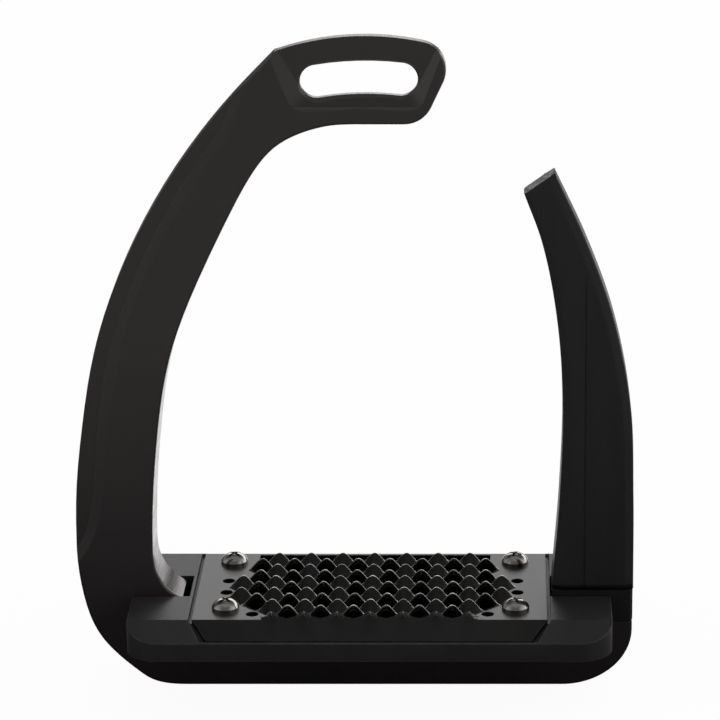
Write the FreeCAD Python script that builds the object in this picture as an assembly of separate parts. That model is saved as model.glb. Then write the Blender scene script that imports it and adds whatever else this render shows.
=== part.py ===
import FreeCAD, Part
import math
import os

from FreeCAD import Vector

# Safety stirrup iron, standing on the flat underside of its bottom bar.
# Millimetres. X runs across the foot opening towards the release arm, -Y is the side the toe
# enters from, +Z is up. X = 0 is the middle of the tread plate, Y = 0 is the middle of the
# frame's thickness and Z = 0 is the underside of the bar.

# ---- frame (one-piece aluminium forging) ----
frame_half_thickness = 8.0
frame_edge_round = 0.8
taper_bend_z = 100.0
taper_bend_radius = 400.0
taper_end_z = 198.6
eye_half_thickness = 2.2
profile_reach = 100.0
profile_top_z = 205.0
bar_top = 20.5
bar_left = -56.0
bar_right = 57.0
arm_outer_x = -87.8
arm_outer_corner_height = 45.0
arm_outer_corner = [(-86.2, 28.9), (-81.5, 15.9), (-70.7, 4.6)]
stub_outer_x = 78.0
stub_corner_height = 18.0
arm_inner_x = -65.1
inner_corner_radius = 16.0
inner_corner_centre = (-49.1, 42.0)
shoulder_x = -56.7
outer_side = [(-26.4, 194.1), (-38.2, 181.7), (-49.5, 168.0), (-61.8, 149.6), (-71.2, 131.6),
              (-77.2, 116.5), (-82.1, 98.2), (-85.2, 79.6)]
inner_side = [(-62.6, 79.8), (-58.1, 104.3), (-48.7, 128.5), (-40.0, 146.3), (-33.4, 158.1), (-25.7, 166.8),
              (-13.3, 172.0)]
eye_underside = (-1.7, 172.9)
eye_lower_corner = (16.3, 172.9)
eye_lower_corner_radius = 8.7
eye_upper_corner = (26.8, 194.8)
eye_upper_corner_radius = 8.3
eye_top_middle = (-2.0, 198.6)
eye_top_slope = (0.981, -0.192)
eye_left_slope = (-0.692, -0.722)

# ---- leather slot and the recess round it ----
slot_arc_radius = 84.5
slot_arc_top_z = 186.4
slot_left_end_x = -14.3
slot_right_end_x = 10.0
slot_half_height = 4.85
slot_lip = 0.5
eye_web_half_thickness = 1.5
recess_mouth_y = 3.4
recess_floor = [(-28.4, 200.0), (-17.5, 180.6), (13.3, 180.9), (23.0, 200.0)]
recess_mouth = [(-34.9, 200.0), (-20.9, 176.5), (15.3, 177.0), (27.1, 200.0)]
recess_floor_radius = 3.0
recess_mouth_radius = 6.0
recess_arch = 0.8

# ---- shallow step milled along the outer edge of the arm ----
step_depth = 0.9
shoulder_width = 2.8
shoulder_depth = 0.6
shoulder_overrun = 0.15
step_line = [(-36.6, 185.6), (-39.2, 180.4), (-40.4, 175.8), (-46.1, 166.5), (-64.1, 136.2), (-73.4, 114.0),
             (-79.7, 85.5), (-82.4, 60.0), (-85.1, 48.6), (-89.5, 41.5)]

# ---- how far a cutting tool or a rough section reaches past the piece it shapes ----
spare = 5.0
slope_cutter_reach = 12.0
slope_overrun = 1.3

# ---- tread base (glass-filled nylon) ----
base_half_length = 71.5
base_half_depth = 36.3
base_corner_radius = 9.5
base_top = 28.9
base_bottom = 19.5
slope_start = 26.8
slope_foot_z = 25.1
left_notch_x = -54.4
right_notch_x = 53.4
notch_half_width = 8.25
pocket_half_length = 53.5
pocket_foot_half_length = 49.6
pocket_foot_y = 35.6
pocket_depth = 1.35
relief_half_length = 48.0
relief_half_depth = 25.0
relief_floor = 24.5
rib_pocket_depth = 2.6
rib_pocket_inner_y = 11.0
rib_pocket_outer_y = 33.5
rib_pocket_length = 22.0
rib_pitch = 25.0
rib_pocket_count = 5

# ---- tread plate (pressed steel sheet) ----
plate_half_length = 52.3
plate_flat_front = -26.5
plate_thickness = 1.2
plate_gap = 0.1
flange_run = 8.3
flange_foot_half_length = 47.6
tooth_pitch_x = 9.73
tooth_pitch_y = 9.45
tooth_first_row_y = 24.2
tooth_height = 1.5
tooth_radius = 3.3
tooth_tip_radius = 0.9
tooth_tip_rise = 0.35
tooth_root_depth = 0.4
hole_half_diagonal = 3.0
hole_corner_radius = 0.8
dimple_depth = 0.45
dimple_radius = 2.6
end_slit_columns = 4.42
end_slit_shift_y = 2.2
end_slit_half_diagonal = 1.9
end_slit_flatten = 0.55
plate_screw_clearance = 0.3

# ---- tread screws, M4 pan head, and their inserts ----
screw_x = 43.0
screw_y_front = -17.7
screw_y_back = 19.7
screw_head_radius = 4.1
screw_head_side = 0.8
screw_head_height = 2.9
screw_head_shoulder = 0.74
screw_shank_radius = 1.95
screw_length = 8.0
cross_length = 4.8
cross_foot_length = 2.2
cross_width = 1.05
cross_depth = 1.9
cross_turns = {(-1, -1): 45.0, (1, -1): 20.0, (-1, 1): 48.0, (1, 1): 70.0}
insert_bore_radius = 2.0
insert_outer_radius = 3.0
insert_length = 6.4
insert_hole_clearance = 0.03
boss_radius = 5.2

# ---- countersunk screws that hold the base to the bar ----
base_screw_x = 28.0
base_screw_radius = 2.45
base_screw_head_radius = 4.7
base_screw_head_height = 2.3
base_screw_bottom = 8.0
base_screw_tip_room = 1.5
base_screw_clearance = 0.25
socket_radius = 1.7
socket_depth = 1.5

# ---- release arm (moulded elastomer) and its root ----
arm_root_z = 30.8
arm_inner_curve = [(53.9, 30.8), (56.1, 60.0), (56.9, 88.8), (55.1, 114.6), (50.7, 137.5), (45.4, 152.2)]
arm_outer_curve = [(78.3, 30.8), (78.1, 60.0), (77.0, 88.0), (71.7, 115.2), (63.6, 138.1), (54.3, 158.5)]
arm_tip_half_thickness = 3.6
arm_taper_power = 1.9
arm_station_count = 9
inner_facet = (2.8, 1.5)
outer_facet = (2.6, 2.6)
facet_drop = 1.2
seam_x = 63.6
seam_width = 0.35
seam_depth = 0.35
seam_top_z = 130.0
root_block_left = 53.9
root_block_right = 78.1
root_block_half_thickness = 7.9
root_block_edge = 0.8
leaf_x = 72.0
leaf_thickness = 1.2
leaf_half_width = 5.0
leaf_bottom = 23.0
leaf_top = 62.0
leaf_clearance = 0.05
root_screw_x = (58.3, 67.3)
root_screw_radius = 1.95
root_screw_head_radius = 3.5
root_screw_head_height = 4.0
root_screw_head_top = 11.0
root_screw_top = 28.2
root_hex_radius = 1.73
root_hex_depth = 2.0
screw_hole_clearance = 0.05
counterbore_clearance = 0.3


def xz(point, y=0.0):
    return Vector(point[0], y, point[1])


def line(a, b):
    return Part.makeLine(a, b)


def arc(a, middle, b):
    return Part.Arc(a, middle, b).toShape()


def spline(points, start_tangent=None, end_tangent=None):
    """A smooth curve through the points; with only a start tangent the end takes its own chord."""
    curve = Part.BSplineCurve()
    if start_tangent is None:
        curve.interpolate(Points=points)
        return curve.toShape()
    if end_tangent is None:
        end_tangent = points[-1] - points[-2]
    curve.interpolate(Points=points, InitialTangent=start_tangent, FinalTangent=end_tangent)
    return curve.toShape()


def corner_arc(before, corner, after, radius):
    """The arc that rounds a corner, with its first and last point."""
    back = (before - corner).normalize()
    ahead = (after - corner).normalize()
    half_angle = back.getAngle(ahead) / 2
    reach = radius / math.tan(half_angle)
    first = corner + back * reach
    last = corner + ahead * reach
    bisector = (back + ahead).normalize()
    middle = corner + bisector * (radius / math.sin(half_angle) - radius)
    return first, last, arc(first, middle, last)


def rounded_polygon(points, radii):
    """A closed wire through the corner points, each rounded by its own radius (0 keeps it sharp)."""
    count = len(points)
    pieces = []
    for i in range(count):
        if radii[i] > 0:
            pieces.append(corner_arc(points[i - 1], points[i], points[(i + 1) % count], radii[i]))
        else:
            pieces.append((points[i], points[i], None))
    edges = []
    for i in range(count):
        first, last, edge = pieces[i]
        if edge is not None:
            edges.append(edge)
        following = pieces[(i + 1) % count][0]
        if last.distanceToPoint(following) > 1e-6:
            edges.append(line(last, following))
    return Part.Wire(edges)


def plate_along(edges_or_wire, direction):
    """A solid from a flat closed outline, pushed along a direction."""
    wire = edges_or_wire if isinstance(edges_or_wire, Part.Wire) else Part.Wire(edges_or_wire)
    return Part.Face(wire).extrude(direction)


def box(x0, x1, y0, y1, z0, z1):
    return Part.makeBox(x1 - x0, y1 - y0, z1 - z0, Vector(x0, y0, z0))


def rod(radius, x, y, z0, z1):
    return Part.makeCylinder(radius, z1 - z0, Vector(x, y, z0))


def mirrored_front_to_back(shape):
    return shape.mirror(Vector(0, 0, 0), Vector(0, 1, 0))


def revolved(profile, x, y, z):
    """A turned solid: the profile is (radius, height) points from the axis out and back to it."""
    points = [Vector(r, 0, h) for r, h in profile]
    wire = Part.makePolygon(points + [points[0]])
    solid = Part.Face(wire).revolve(Vector(0, 0, 0), Vector(0, 0, 1), 360)
    solid.translate(Vector(x, y, z))
    return solid


def quarter_ellipse(centre, half_width, height):
    """A quarter ellipse from the bar's underside up to the side of the stub."""
    middle = xz(centre)
    start = middle + Vector(half_width, 0, 0)
    bottom = middle - Vector(0, 0, height)
    ellipse = Part.Ellipse(start, bottom, middle)
    first = ellipse.parameter(start)
    last = ellipse.parameter(bottom)
    quarter = math.pi / 2
    if abs((last - first) % (2 * math.pi) - quarter) < 1e-6:
        return ellipse.toShape(first, first + quarter)
    return ellipse.toShape(last, last + quarter)


def eye_edges():
    """The eye: underside, round right end and the long crowned top, as far as the arm's outer side."""
    low_start, low_end, low_arc = corner_arc(
        xz(eye_underside), xz(eye_lower_corner), xz(eye_upper_corner), eye_lower_corner_radius)
    top_slope = xz(eye_top_slope)
    before_top = xz(eye_upper_corner) - top_slope * 20
    high_start, high_end, high_arc = corner_arc(
        xz(eye_lower_corner), xz(eye_upper_corner), before_top, eye_upper_corner_radius)
    return [
        line(xz(eye_underside), low_start),
        low_arc,
        line(low_end, high_start),
        high_arc,
        arc(high_end, xz(eye_top_middle), xz(outer_side[0])),
    ]


def frame_outline(y):
    """The frame seen from the front: eye, left arm, bottom bar and the stub for the release arm."""
    down = Vector(0, 0, -1)
    side_end = Vector(arm_outer_x, 0, arm_outer_corner_height)
    bar_start = Vector(bar_left, 0, 0)
    corner = [side_end] + [xz(p) for p in arm_outer_corner] + [bar_start]
    stub_side = Vector(stub_outer_x, 0, stub_corner_height)
    stub_top = Vector(stub_outer_x, 0, bar_top)
    shoulder_foot = Vector(shoulder_x, 0, bar_top)
    centre = xz(inner_corner_centre)
    reach = shoulder_x - inner_corner_centre[0]
    drop = math.sqrt(inner_corner_radius ** 2 - reach ** 2)
    shoulder = centre + Vector(reach, 0, -drop)
    arc_end = Vector(arm_inner_x, 0, inner_corner_centre[1])
    half_turn = math.atan2(-drop, reach) / 2 - math.pi / 2
    arc_middle = centre + Vector(math.cos(half_turn), 0, math.sin(half_turn)) * inner_corner_radius
    inner = [arc_end] + [xz(p) for p in inner_side] + [xz(eye_underside)]
    edges = [
        spline([xz(p) for p in outer_side] + [side_end], xz(eye_left_slope), down),
        spline(corner, down, Vector(1, 0, 0)),
        line(bar_start, Vector(bar_right, 0, 0)),
        quarter_ellipse((bar_right, stub_corner_height), stub_outer_x - bar_right, stub_corner_height),
        line(stub_side, stub_top),
        line(stub_top, shoulder_foot),
        line(shoulder_foot, shoulder),
        arc(shoulder, arc_middle, arc_end),
        spline(inner, Vector(0, 0, 1), Vector(1, 0, 0)),
    ]
    wire = Part.Wire(Part.__sortEdges__(edges + eye_edges()))
    wire.translate(Vector(0, y, 0))
    return wire


def side_profile(inset):
    """The frame seen from the side: full thickness up to the bend, then thinner all the way up."""
    foot_z = -spare
    slope = (frame_half_thickness - eye_half_thickness) / (taper_end_z - taper_bend_z)
    bend_half = frame_half_thickness - inset
    top_half = bend_half - slope * (profile_top_z - taper_bend_z)
    corners = []
    radii = []
    for side in (-1, 1):
        column = [
            (Vector(-profile_reach, side * bend_half, foot_z), 0.0),
            (Vector(-profile_reach, side * bend_half, taper_bend_z), taper_bend_radius),
            (Vector(-profile_reach, side * top_half, profile_top_z), 0.0),
        ]
        if side > 0:
            column.reverse()
        corners += [place for place, radius in column]
        radii += [radius for place, radius in column]
    return plate_along(rounded_polygon(corners, radii), Vector(2 * profile_reach, 0, 0))


def slot_outline(y, grow=0.0):
    """The arched leather slot with round ends, as a cutter leaves it; grow makes it larger all round."""
    centre = Vector(0, y, slot_arc_top_z - slot_arc_radius)
    half = slot_half_height + grow
    ends = []
    for end_x, outward in ((slot_left_end_x, -1), (slot_right_end_x, 1)):
        turn = math.asin(end_x / slot_arc_radius)
        radial = Vector(math.sin(turn), 0, math.cos(turn))
        along = Vector(math.cos(turn), 0, -math.sin(turn)) * outward
        middle = centre + radial * slot_arc_radius
        ends.append((middle + radial * half, middle + along * half, middle - radial * half))
    (left_top, left_tip, left_foot), (right_top, right_tip, right_foot) = ends
    top = centre + Vector(0, 0, slot_arc_radius + half)
    foot = centre + Vector(0, 0, slot_arc_radius - half)
    return Part.Wire([
        arc(left_top, top, right_top),
        arc(right_top, right_tip, right_foot),
        arc(right_foot, foot, left_foot),
        arc(left_foot, left_tip, left_top),
    ])


def slot_cutter():
    """The slot right through the web, flared where it breaks out so that no edge cuts the leather."""
    through = plate_along(slot_outline(-frame_half_thickness), Vector(0, 2 * frame_half_thickness, 0))
    lip_y = eye_web_half_thickness - slot_lip
    far = slot_lip + recess_mouth_y - eye_web_half_thickness
    flare = Part.makeLoft([slot_outline(-lip_y), slot_outline(-lip_y - far, far)], True, True)
    return through.fuse([flare, mirrored_front_to_back(flare)])


def recess_outline(corners, y, radius):
    """The outline of the recess at one depth: two sloping sides and an arched foot with round corners."""
    left_top, left_foot, right_foot, right_top = [xz(p, y) for p in corners]
    left_start, left_end, left_arc = corner_arc(left_top, left_foot, right_foot, radius)
    right_start, right_end, right_arc = corner_arc(left_foot, right_foot, right_top, radius)
    middle = (left_end + right_start) * 0.5 + Vector(0, 0, recess_arch)
    along_foot = right_foot - left_foot
    return Part.Wire([
        line(left_top, left_start),
        left_arc,
        spline([left_end, middle, right_start], along_foot, along_foot),
        right_arc,
        line(right_end, right_top),
        line(right_top, left_top),
    ])


def eye_recess():
    """The cutter for the dished recess round the slot on the front: flat floor, gently sloped walls."""
    floor = recess_outline(recess_floor, -eye_web_half_thickness, recess_floor_radius)
    mouth = recess_outline(recess_mouth, -recess_mouth_y, recess_mouth_radius)
    return Part.makeLoft([floor, mouth], True, True)


def arm_step(core):
    """The cutter for the step along the outer edge of the arm, on both faces; core is what it leaves."""
    front = -frame_half_thickness - 1.0
    points = [xz(p, front) for p in step_line]
    step = spline(points)
    far_x = arm_outer_x - 10
    bottom_left = Vector(far_x, front, points[-1].z)
    top_left = Vector(far_x, front, points[0].z)
    outline = [step, line(points[-1], bottom_left), line(bottom_left, top_left), line(top_left, points[0])]
    band = plate_along(outline, Vector(0, -2 * front, 0))
    return band.cut(core)


def face_level(z):
    """Half the thickness of the frame at a height, without the small bend radius."""
    slope = (frame_half_thickness - eye_half_thickness) / (taper_end_z - taper_bend_z)
    return frame_half_thickness - slope * max(0.0, z - taper_bend_z)


def step_shoulder():
    """The cutter that eases the main face down towards the step; it overruns both edges of the shoulder."""
    foot = []
    brow = []
    for i, (x, z) in enumerate(step_line):
        before = step_line[max(i - 1, 0)]
        after = step_line[min(i + 1, len(step_line) - 1)]
        along = Vector(after[0] - before[0], 0, after[1] - before[1]).normalize()
        away = Vector(-along.z, 0, along.x) * shoulder_width
        for edge, share in ((foot, -shoulder_overrun), (brow, 1 + shoulder_overrun)):
            depth = shoulder_depth * (1 - share)
            edge_z = z + away.z * share
            edge.append(Vector(x + away.x * share, depth - face_level(edge_z), edge_z))
    slope = Part.makeRuledSurface(spline(foot), spline(brow))
    return slope.extrude(Vector(0, -spare, 0))


def edges_on_both(solid, first, second):
    """The edges of a solid that lie on two given surfaces at once."""
    chosen = []
    for edge in solid.Edges:
        length = edge.LastParameter - edge.FirstParameter
        places = [Part.Vertex(edge.valueAt(edge.FirstParameter + share * length)) for share in (0.3, 0.7)]
        if all(p.distToShape(s)[0] < 1e-3 for p in places for s in (first, second)):
            chosen.append(edge)
    return chosen


def side_faces(solid, axis):
    """The faces of a pushed-out solid without its two flat ends."""
    faces = [f for f in solid.Faces if abs(abs(f.normalAt(0, 0).dot(axis)) - 1) > 1e-6]
    return Part.makeCompound(faces)


def under_the_tread(edge):
    """The bar's top edges: the base sits tight on them, so they stay sharp."""
    middle = edge.CenterOfMass
    corner_foot = inner_corner_centre[1] - inner_corner_radius
    return middle.x > shoulder_x - 1.0 and bar_top - 1.0 < middle.z < corner_foot + 3.0


def make_frame():
    reach = frame_half_thickness + 1.0
    outline = plate_along(frame_outline(-reach), Vector(0, 2 * reach, 0))
    profile = side_profile(0.0)
    body = outline.common(profile)
    faces = side_faces(profile, Vector(1, 0, 0))
    rims = edges_on_both(body, faces, side_faces(outline, Vector(0, 1, 0)))
    body = body.makeFillet(frame_edge_round, [e for e in rims if not under_the_tread(e)])
    body = body.cut(arm_step(side_profile(step_depth)))
    shoulder = step_shoulder()
    body = body.cut([shoulder, mirrored_front_to_back(shoulder)])
    recess = eye_recess()
    body = body.cut([recess, mirrored_front_to_back(recess), slot_cutter()])
    holes = []
    for side in (-1, 1):
        holes.append(rod(base_screw_radius + screw_hole_clearance, side * base_screw_x, 0,
                         base_screw_bottom - base_screw_tip_room, bar_top))
    for x in root_screw_x:
        holes.append(rod(root_screw_radius + screw_hole_clearance, x, 0, 0, bar_top + 1))
        holes.append(rod(root_screw_head_radius + counterbore_clearance, x, 0, -1, root_screw_head_top))
    return body.cut(holes)


def slope_cutter():
    """Everything above the sloped front of the base, as a wedge along its whole length."""
    rise = base_top - slope_foot_z
    run = base_half_depth - slope_start
    far = slope_cutter_reach / run
    start = Vector(-base_half_length - 1, -slope_start, base_top)
    foot = Vector(-base_half_length - 1, -slope_start - run * far, base_top - rise * far)
    above = Vector(-base_half_length - 1, foot.y, base_top + spare)
    above_start = Vector(-base_half_length - 1, -slope_start, base_top + spare)
    wire = Part.makePolygon([start, foot, above, above_start, start])
    return plate_along(wire, Vector(2 * base_half_length + 2, 0, 0))


def sloped_section(depth_below, half_length, back):
    """A flat band that follows the top and front slope of the base, as deep as asked."""
    rise = base_top - slope_foot_z
    run = base_half_depth - slope_start
    fold_y = -slope_start
    foot_y = fold_y - run * slope_overrun
    foot_z = base_top - rise * slope_overrun
    slope_drop = depth_below / math.cos(math.atan2(rise, run))
    inner_fold_y = fold_y + depth_below * math.tan(math.atan2(rise, run) / 2)
    points = [
        Vector(-half_length, back, base_top + spare),
        Vector(-half_length, back, base_top - depth_below),
        Vector(-half_length, inner_fold_y, base_top - depth_below),
        Vector(-half_length, foot_y, foot_z - slope_drop),
        Vector(-half_length, foot_y, base_top + spare),
    ]
    wire = Part.makePolygon(points + [points[0]])
    return plate_along(wire, Vector(2 * half_length, 0, 0))


def plan_trapezoid(half_length, fold_y, foot_half_length, foot_y, z0, z1):
    """The plan of the plate and its pocket: straight sides, then corners cut away at both flanges."""
    points = [
        Vector(-half_length, fold_y, z0),
        Vector(-foot_half_length, foot_y, z0),
        Vector(foot_half_length, foot_y, z0),
        Vector(half_length, fold_y, z0),
        Vector(half_length, -fold_y, z0),
        Vector(foot_half_length, -foot_y, z0),
        Vector(-foot_half_length, -foot_y, z0),
        Vector(-half_length, -fold_y, z0),
    ]
    wire = Part.makePolygon(points + [points[0]])
    return plate_along(wire, Vector(0, 0, z1 - z0))


def plate_pocket():
    half = sloped_section(pocket_depth, pocket_half_length, 0.0)
    both = half.fuse(mirrored_front_to_back(half))
    plan = plan_trapezoid(pocket_half_length, -slope_start, pocket_foot_half_length, -pocket_foot_y,
                          base_bottom, base_top + spare)
    return both.common(plan)


def screw_places():
    return [(sx * screw_x, screw_y_front if sy < 0 else screw_y_back, sx, sy)
            for sx in (-1, 1) for sy in (-1, 1)]


def rib_pockets():
    """Weight-saving pockets in the underside of the base, in front of the bar and behind it."""
    pockets = []
    first = -(rib_pocket_count - 1) / 2 * rib_pitch
    for side in (-1, 1):
        for i in range(rib_pocket_count):
            middle = first + i * rib_pitch
            y0, y1 = sorted((side * rib_pocket_inner_y, side * rib_pocket_outer_y))
            pockets.append(box(middle - rib_pocket_length / 2, middle + rib_pocket_length / 2,
                               y0, y1, base_bottom - 1, base_bottom + rib_pocket_depth))
    return pockets


def make_tread_base():
    corners = [Vector(-base_half_length, -base_half_depth, base_bottom),
               Vector(base_half_length, -base_half_depth, base_bottom),
               Vector(base_half_length, base_half_depth, base_bottom),
               Vector(-base_half_length, base_half_depth, base_bottom)]
    plan = rounded_polygon(corners, [base_corner_radius] * 4)
    body = plate_along(plan, Vector(0, 0, base_top - base_bottom))
    slope = slope_cutter()
    body = body.cut([slope, mirrored_front_to_back(slope)])
    left_notch = box(-base_half_length - 1, left_notch_x, -notch_half_width, notch_half_width,
                     base_bottom - 1, base_top + 1)
    right_notch = box(right_notch_x, base_half_length + 1, -notch_half_width, notch_half_width,
                      base_bottom - 1, base_top + 1)
    channel = box(left_notch_x - 1, right_notch_x + 1, -notch_half_width, notch_half_width,
                  base_bottom - 1, bar_top + 0.02)
    relief = box(-relief_half_length, relief_half_length, -relief_half_depth, relief_half_depth,
                 relief_floor, base_top + spare)
    bosses = [rod(boss_radius, x, y, relief_floor - 1, base_top + spare) for x, y, sx, sy in screw_places()]
    relief = relief.cut(bosses)
    body = body.cut([left_notch, right_notch, channel, plate_pocket(), relief])
    body = body.cut(rib_pockets())
    seats = [rod(boss_radius, x, y, base_bottom, base_bottom + rib_pocket_depth + 1)
             for x, y, sx, sy in screw_places()]
    body = body.fuse(seats)
    holes = []
    for x, y, sx, sy in screw_places():
        holes.append(rod(insert_outer_radius + insert_hole_clearance, x, y, base_bottom - 1, base_top + 1))
    for side in (-1, 1):
        through = base_screw_radius + base_screw_clearance
        holes.append(rod(through, side * base_screw_x, 0, base_bottom, relief_floor + 1))
        holes.append(countersink(side * base_screw_x, screw_hole_clearance))
    return body.cut(holes).removeSplitter()


def countersink(x, clearance):
    """The cone of a countersunk head, flush with the floor of the base's relief."""
    foot = relief_floor - base_screw_head_height
    return Part.makeCone(base_screw_radius + clearance, base_screw_head_radius + clearance,
                         base_screw_head_height + clearance, Vector(x, 0, foot))


def tooth(x, y):
    """One raised tooth: a small cone with a rounded tip, rooted just inside the sheet."""
    steps = 4
    profile = [(0, -tooth_root_depth), (tooth_radius, -tooth_root_depth), (tooth_radius, 0.0)]
    for i in range(steps + 1):
        angle = math.pi / 2 * i / steps
        radius = tooth_tip_radius * math.cos(angle)
        height = tooth_height - tooth_tip_rise + tooth_tip_rise * math.sin(angle)
        profile.append((radius, height))
    return revolved(profile, x, y, base_top)


def pierced_hole(x, y, half_diagonal=hole_half_diagonal, flatten=1.0):
    """A diamond hole with rounded corners, right through the sheet."""
    z0 = base_top - spare
    points = [Vector(x - half_diagonal, y, z0), Vector(x, y - half_diagonal * flatten, z0),
              Vector(x + half_diagonal, y, z0), Vector(x, y + half_diagonal * flatten, z0)]
    radius = hole_corner_radius * flatten
    return plate_along(rounded_polygon(points, [radius] * 4), Vector(0, 0, 2 * spare))


def tooth_rows():
    """Teeth stand at every corner of the diamond net; rows alternate between two sets of columns."""
    places = []
    for row in range(6):
        y = tooth_first_row_y - row * tooth_pitch_y
        reach = 4 if row in (2, 3) else 3
        places += [(column * tooth_pitch_x, y) for column in range(-reach, reach + 1)]
    for row in range(5):
        y = tooth_first_row_y - (row + 0.5) * tooth_pitch_y
        places += [((column + 0.5) * tooth_pitch_x, y) for column in range(-4, 4)]
    return places


def hole_rows():
    """Pierced diamonds lie between the teeth, half a pitch from the closed cells."""
    places = []
    for row in range(5):
        y = tooth_first_row_y - (row + 1) * tooth_pitch_y
        reach = 3 if row == 4 else 4
        places += [((column + 0.5) * tooth_pitch_x, y) for column in range(-reach, reach)]
    return places


def closed_cells():
    """The closed cells between the teeth, each pressed into a shallow dish."""
    places = []
    for row in range(5):
        y = tooth_first_row_y - (row + 0.5) * tooth_pitch_y
        reach = 4 if row in (2, 3) else 3
        places += [(column * tooth_pitch_x, y) for column in range(-reach, reach + 1)]
    return places


def dimple(x, y):
    sphere_radius = (dimple_radius ** 2 + dimple_depth ** 2) / (2 * dimple_depth)
    return Part.makeSphere(sphere_radius, Vector(x, y, base_top + sphere_radius - dimple_depth))


def end_slits():
    """Part-width holes at both ends of the middle rows, where the net runs out."""
    slits = []
    for side in (-1, 1):
        for row in (1, 2):
            x = side * end_slit_columns * tooth_pitch_x
            y = tooth_first_row_y - (row + 1) * tooth_pitch_y + end_slit_shift_y
            slits.append(pierced_hole(x, y, end_slit_half_diagonal, end_slit_flatten))
    return slits


def make_tread_plate():
    outside = sloped_section(plate_thickness, plate_half_length, 0.0)
    below = sloped_section(0.0, plate_half_length + 1, 0.0)
    band = outside.cut(below)
    band = band.common(box(-plate_half_length, plate_half_length, -slope_start - flange_run, 0.01,
                           base_bottom, base_top + 1))
    sheet = band.fuse(mirrored_front_to_back(band))
    plan = plan_trapezoid(plate_half_length, -slope_start, flange_foot_half_length, -slope_start - flange_run,
                          base_bottom, base_top + spare)
    sheet = sheet.common(plan).removeSplitter()
    teeth = [tooth(x, y) for x, y in tooth_rows() if y > plate_flat_front + tooth_radius]
    sheet = sheet.fuse(teeth)
    holes = [pierced_hole(x, y) for x, y in hole_rows()] + end_slits()
    for x, y, sx, sy in screw_places():
        holes.append(rod(screw_shank_radius + plate_screw_clearance, x, y, base_bottom, base_top + 1))
    sheet = sheet.cut(holes)
    sheet = sheet.cut([dimple(x, y) for x, y in closed_cells()])
    return sheet.removeSplitter()


def cross_recess():
    """The driver recess of one screw: two crossing wedges."""
    top = screw_head_height + 0.2
    foot = screw_head_height - cross_depth
    wings = []
    for turn in (0, 90):
        side = -cross_width / 2
        points = [
            Vector(-cross_length / 2, side, top),
            Vector(cross_length / 2, side, top),
            Vector(cross_foot_length / 2, side, foot),
            Vector(-cross_foot_length / 2, side, foot),
        ]
        wing = plate_along(Part.makePolygon(points + [points[0]]), Vector(0, cross_width, 0))
        wing.rotate(Vector(0, 0, 0), Vector(0, 0, 1), turn)
        wings.append(wing)
    return wings[0].fuse(wings[1])


def tread_screw(x, y, turn):
    """An M4 pan-head screw: domed head, short side, plain shank standing for the thread."""
    side_top = Vector(screw_head_radius, 0, screw_head_side)
    crown = Vector(0, 0, screw_head_height)
    shoulder = Vector(screw_head_radius, 0, screw_head_height) * screw_head_shoulder
    edges = [
        line(Vector(0, 0, 0), Vector(screw_head_radius, 0, 0)),
        line(Vector(screw_head_radius, 0, 0), side_top),
        arc(side_top, shoulder, crown),
        line(crown, Vector(0, 0, 0)),
    ]
    head = Part.Face(Part.Wire(edges)).revolve(Vector(0, 0, 0), Vector(0, 0, 1), 360)
    head = head.cut(cross_recess())
    shank = rod(screw_shank_radius, 0, 0, -screw_length, 0.2)
    screw = head.fuse(shank).removeSplitter()
    screw.rotate(Vector(0, 0, 0), Vector(0, 0, 1), turn)
    screw.translate(Vector(x, y, base_top))
    return screw


def make_tread_screws():
    return [tread_screw(x, y, cross_turns[(sx, sy)]) for x, y, sx, sy in screw_places()]


def make_screw_inserts():
    """Brass inserts pressed into the base from below the plate, one under each tread screw."""
    top = base_top - plate_thickness - plate_gap
    inserts = []
    for x, y, sx, sy in screw_places():
        sleeve = rod(insert_outer_radius, x, y, top - insert_length, top)
        sleeve = sleeve.cut(rod(insert_bore_radius, x, y, top - insert_length - 1, top + 1))
        inserts.append(sleeve)
    return inserts


def make_base_screws():
    screws = []
    for side in (-1, 1):
        x = side * base_screw_x
        shank = rod(base_screw_radius, x, 0, base_screw_bottom, relief_floor - base_screw_head_height + 0.1)
        screw = shank.fuse(countersink(x, 0.0))
        socket = rod(socket_radius, x, 0, relief_floor - socket_depth, relief_floor + 1)
        screws.append(screw.cut(socket).removeSplitter())
    return screws


def arm_section(inner, outer, along):
    """One eight-sided section of the release arm: flat front and back, facets on all four edges."""
    half = frame_half_thickness
    half -= (frame_half_thickness - arm_tip_half_thickness) * along ** arm_taper_power
    inner_width = inner_facet[0] + (inner_facet[1] - inner_facet[0]) * along
    outer_width = outer_facet[0] + (outer_facet[1] - outer_facet[0]) * along
    across = (outer - inner).normalize()
    drop = facet_drop * half / frame_half_thickness
    face = Vector(0, half, 0)
    side = Vector(0, half - drop, 0)
    points = [
        inner - side,
        inner + across * inner_width - face,
        outer - across * outer_width - face,
        outer - side,
        outer + side,
        outer - across * outer_width + face,
        inner + across * inner_width + face,
        inner + side,
    ]
    return Part.makePolygon(points + [points[0]])


def curve_stations(points, count):
    """Evenly spaced points along a smooth curve through the given points."""
    places = [xz(p) for p in points]
    return spline(places, start_tangent=places[1] - places[0]).discretize(Number=count)


def leaf_space(clearance, z0, z1):
    return box(leaf_x - leaf_thickness / 2 - clearance, leaf_x + leaf_thickness / 2 + clearance,
               -leaf_half_width - clearance, leaf_half_width + clearance, z0, z1)


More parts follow.
